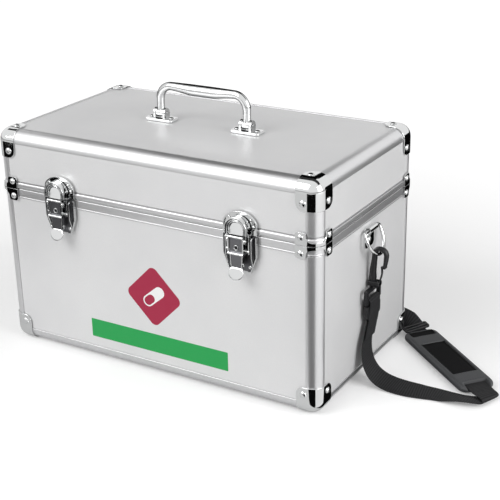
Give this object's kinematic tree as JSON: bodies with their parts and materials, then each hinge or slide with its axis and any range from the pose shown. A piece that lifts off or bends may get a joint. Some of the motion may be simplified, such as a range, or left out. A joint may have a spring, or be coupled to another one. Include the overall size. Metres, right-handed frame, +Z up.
{
  "type": "medicine lock box",
  "caption": "Lockable aluminium-framed medicine carry case with a rear-hinged lid, key latches, folding top handle and clip-on shoulder strap.",
  "frame": {"origin": "centre of the case's footprint, on the surface that it stands on", "axes": "+Z up, +X to the right of someone facing the latches, -Y out of the front"},
  "size_m": [0.5703, 0.2545, 0.3],
  "materials": {
    "frame_aluminium": "satin silver extrusion",
    "panel_board": "silver-grey laminated board, fine satin grain",
    "chrome_steel": "bright plated pressed steel",
    "lock_brass": "nickel-plated",
    "lining_foam": "dark closed-cell foam",
    "tray_plastic": "grey moulded",
    "black_plastic": "black moulded, fine texture",
    "strap_fabric": "black woven webbing"
  },
  "bodies": {
    "case": {"body_frame": "frame_aluminium", "body_rim": "frame_aluminium", "body_front_panel": "panel_board", "body_back_panel": "panel_board", "body_left_panel": "panel_board", "body_right_panel": "panel_board", "body_corner_front_left": "chrome_steel", "body_bracket_front_left": "chrome_steel", "body_corner_front_right": "chrome_steel", "body_bracket_front_right": "chrome_steel", "body_corner_back_left": "chrome_steel", "body_bracket_back_left": "chrome_steel", "body_corner_back_right": "chrome_steel", "body_bracket_back_right": "chrome_steel", "body_floor_panel": "panel_board", "body_lining": "lining_foam", "lift_out_tray": "tray_plastic", "latch_left_base": "chrome_steel", "ring_plate_left": "chrome_steel", "swivel_eye_left": "black_plastic", "latch_right_base": "chrome_steel", "ring_plate_right": "chrome_steel", "swivel_eye_right": "black_plastic", "hinge_body_leaf": "chrome_steel", "strap_slider": "black_plastic", "strap_webbing": "strap_fabric", "shoulder_pad": "strap_fabric"},
    "lid": {"lid_frame": "frame_aluminium", "lid_rim": "frame_aluminium", "lid_front_panel": "panel_board", "lid_back_panel": "panel_board", "lid_left_panel": "panel_board", "lid_right_panel": "panel_board", "lid_corner_front_left": "chrome_steel", "lid_bracket_front_left": "chrome_steel", "lid_corner_front_right": "chrome_steel", "lid_bracket_front_right": "chrome_steel", "lid_corner_back_left": "chrome_steel", "lid_bracket_back_left": "chrome_steel", "lid_corner_back_right": "chrome_steel", "lid_bracket_back_right": "chrome_steel", "lid_top_panel": "panel_board", "hinge_lid_leaf": "chrome_steel", "handle_bracket_left": "chrome_steel", "handle_bracket_right": "chrome_steel", "latch_left_strike": "chrome_steel", "latch_right_strike": "chrome_steel"},
    "handle": {"handle_grip": "chrome_steel"},
    "lever_left": {"latch_left_lever": "chrome_steel"},
    "hasp_left": {"latch_left_hasp": "chrome_steel"},
    "lock_left": {"latch_left_lock_cylinder": "lock_brass"},
    "ring_left": {"carry_ring_left": "chrome_steel"},
    "hook_left": {"strap_hook_left": "black_plastic"},
    "gate_left": {"hook_gate_left": "black_plastic"},
    "lever_right": {"latch_right_lever": "chrome_steel"},
    "hasp_right": {"latch_right_hasp": "chrome_steel"},
    "lock_right": {"latch_right_lock_cylinder": "lock_brass"},
    "ring_right": {"carry_ring_right": "chrome_steel"},
    "hook_right": {"strap_hook_right": "black_plastic"},
    "gate_right": {"hook_gate_right": "black_plastic"}
  },
  "joints": [
    {"name": "lid_hinge", "type": "hinge", "parent": "case", "child": "lid", "pos_m": [0, 0.1167, 0.188], "axis": [-1, 0, 0], "range_deg": [0, 95]},
    {"name": "handle_fold", "type": "hinge", "parent": "lid", "child": "handle", "pos_m": [0, 0, 0.2624], "axis": [1, 0, 0], "range_deg": [-85, 85]},
    {"name": "latch_left_lever", "type": "hinge", "parent": "case", "child": "lever_left", "pos_m": [-0.114, -0.1225, 0.184], "axis": [-1, 0, 0], "range_deg": [0, 115]},
    {"name": "latch_left_hasp", "type": "hinge", "parent": "lever_left", "child": "hasp_left", "pos_m": [-0.114, -0.1205, 0.173], "axis": [-1, 0, 0], "range_deg": [-115, 0]},
    {"name": "latch_left_key_turn", "type": "hinge", "parent": "lever_left", "child": "lock_left", "pos_m": [-0.114, -0.1239, 0.1764], "axis": [0, -1, 0], "range_deg": [0, 90]},
    {"name": "ring_left_swing", "type": "hinge", "parent": "case", "child": "ring_left", "pos_m": [-0.2033, 0.001, 0.17], "axis": [0, 1, 0], "range_deg": [-2.5, 0.3]},
    {"name": "hook_left_swivel", "type": "hinge", "parent": "case", "child": "hook_left", "pos_m": [-0.2058, 0.001, 0.106], "axis": [0, 0, 1], "range_deg": [-10, 10]},
    {"name": "gate_left_snap", "type": "hinge", "parent": "hook_left", "child": "gate_left", "pos_m": [-0.2122, 0.001, 0.1094], "axis": [0, 1, 0], "range_deg": [0, 13], "stiffness_Nm_per_rad": 0.02, "springref_deg": -5.73},
    {"name": "latch_right_lever", "type": "hinge", "parent": "case", "child": "lever_right", "pos_m": [0.114, -0.1225, 0.184], "axis": [-1, 0, 0], "range_deg": [0, 115]},
    {"name": "latch_right_hasp", "type": "hinge", "parent": "lever_right", "child": "hasp_right", "pos_m": [0.114, -0.1205, 0.173], "axis": [-1, 0, 0], "range_deg": [-115, 0]},
    {"name": "latch_right_key_turn", "type": "hinge", "parent": "lever_right", "child": "lock_right", "pos_m": [0.114, -0.1239, 0.1764], "axis": [0, -1, 0], "range_deg": [0, 90]},
    {"name": "ring_right_swing", "type": "hinge", "parent": "case", "child": "ring_right", "pos_m": [0.2033, 0.001, 0.17], "axis": [0, -1, 0], "range_deg": [-2.5, 0.3]},
    {"name": "hook_right_swivel", "type": "hinge", "parent": "case", "child": "hook_right", "pos_m": [0.2058, 0.001, 0.106], "axis": [0, 0, 1], "range_deg": [-10, 10]},
    {"name": "gate_right_snap", "type": "hinge", "parent": "hook_right", "child": "gate_right", "pos_m": [0.2122, 0.001, 0.1094], "axis": [0, -1, 0], "range_deg": [0, 13], "stiffness_Nm_per_rad": 0.02, "springref_deg": -5.73}
  ],
  "couplings": [
    {"joint": "latch_left_hasp", "follows": "latch_left_lever", "ratio": -1},
    {"joint": "latch_right_hasp", "follows": "latch_right_lever", "ratio": -1}
  ]
}
